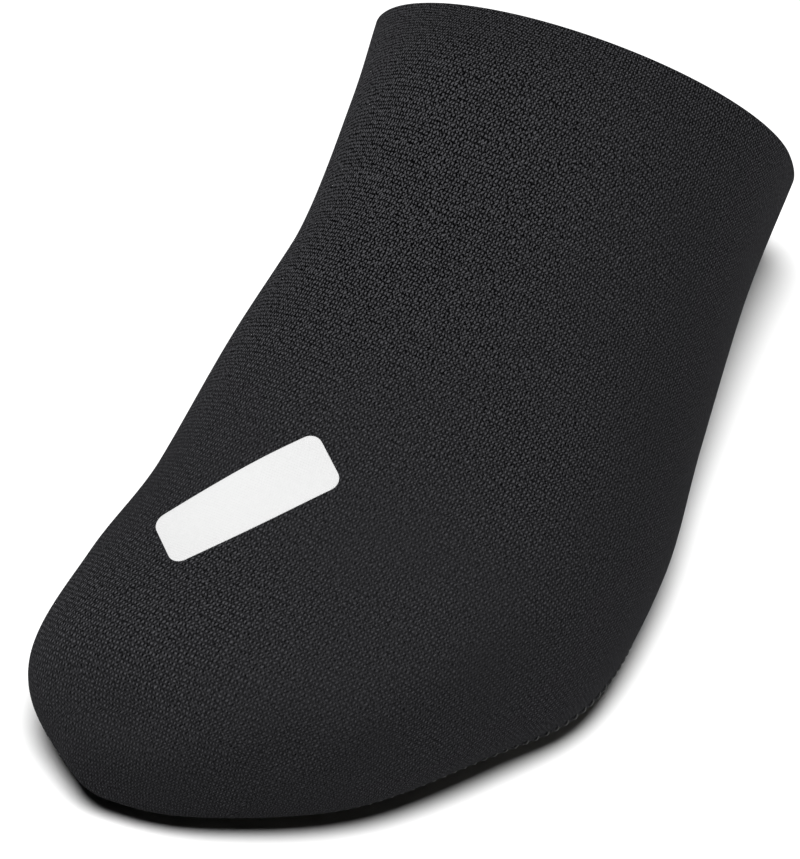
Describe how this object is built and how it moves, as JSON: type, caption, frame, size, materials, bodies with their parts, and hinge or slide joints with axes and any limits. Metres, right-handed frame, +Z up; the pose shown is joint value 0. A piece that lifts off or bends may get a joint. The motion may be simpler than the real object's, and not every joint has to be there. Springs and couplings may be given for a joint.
{
  "type": "cycling toe cover",
  "caption": "Knitted toe cover for a cycling shoe, closed at the toe and open at the collar, with a tougher sole panel that has a cleat opening.",
  "frame": {"origin": "on the floor under the middle of the cover's box", "axes": "+Z up, toe towards -Y, the outer side of the left foot towards +X"},
  "size_m": [0.105, 0.207, 0.0878],
  "materials": {
    "knit": "fine black knit with pale grey flecks, matt",
    "sole_cloth": "coarse tough black mesh cloth, matt",
    "print": "plain white matt transfer print",
    "thread": "black sewing thread"
  },
  "bodies": {
    "root": {"upper": "knit", "sole": "sole_cloth"}
  },
  "joints": []
}
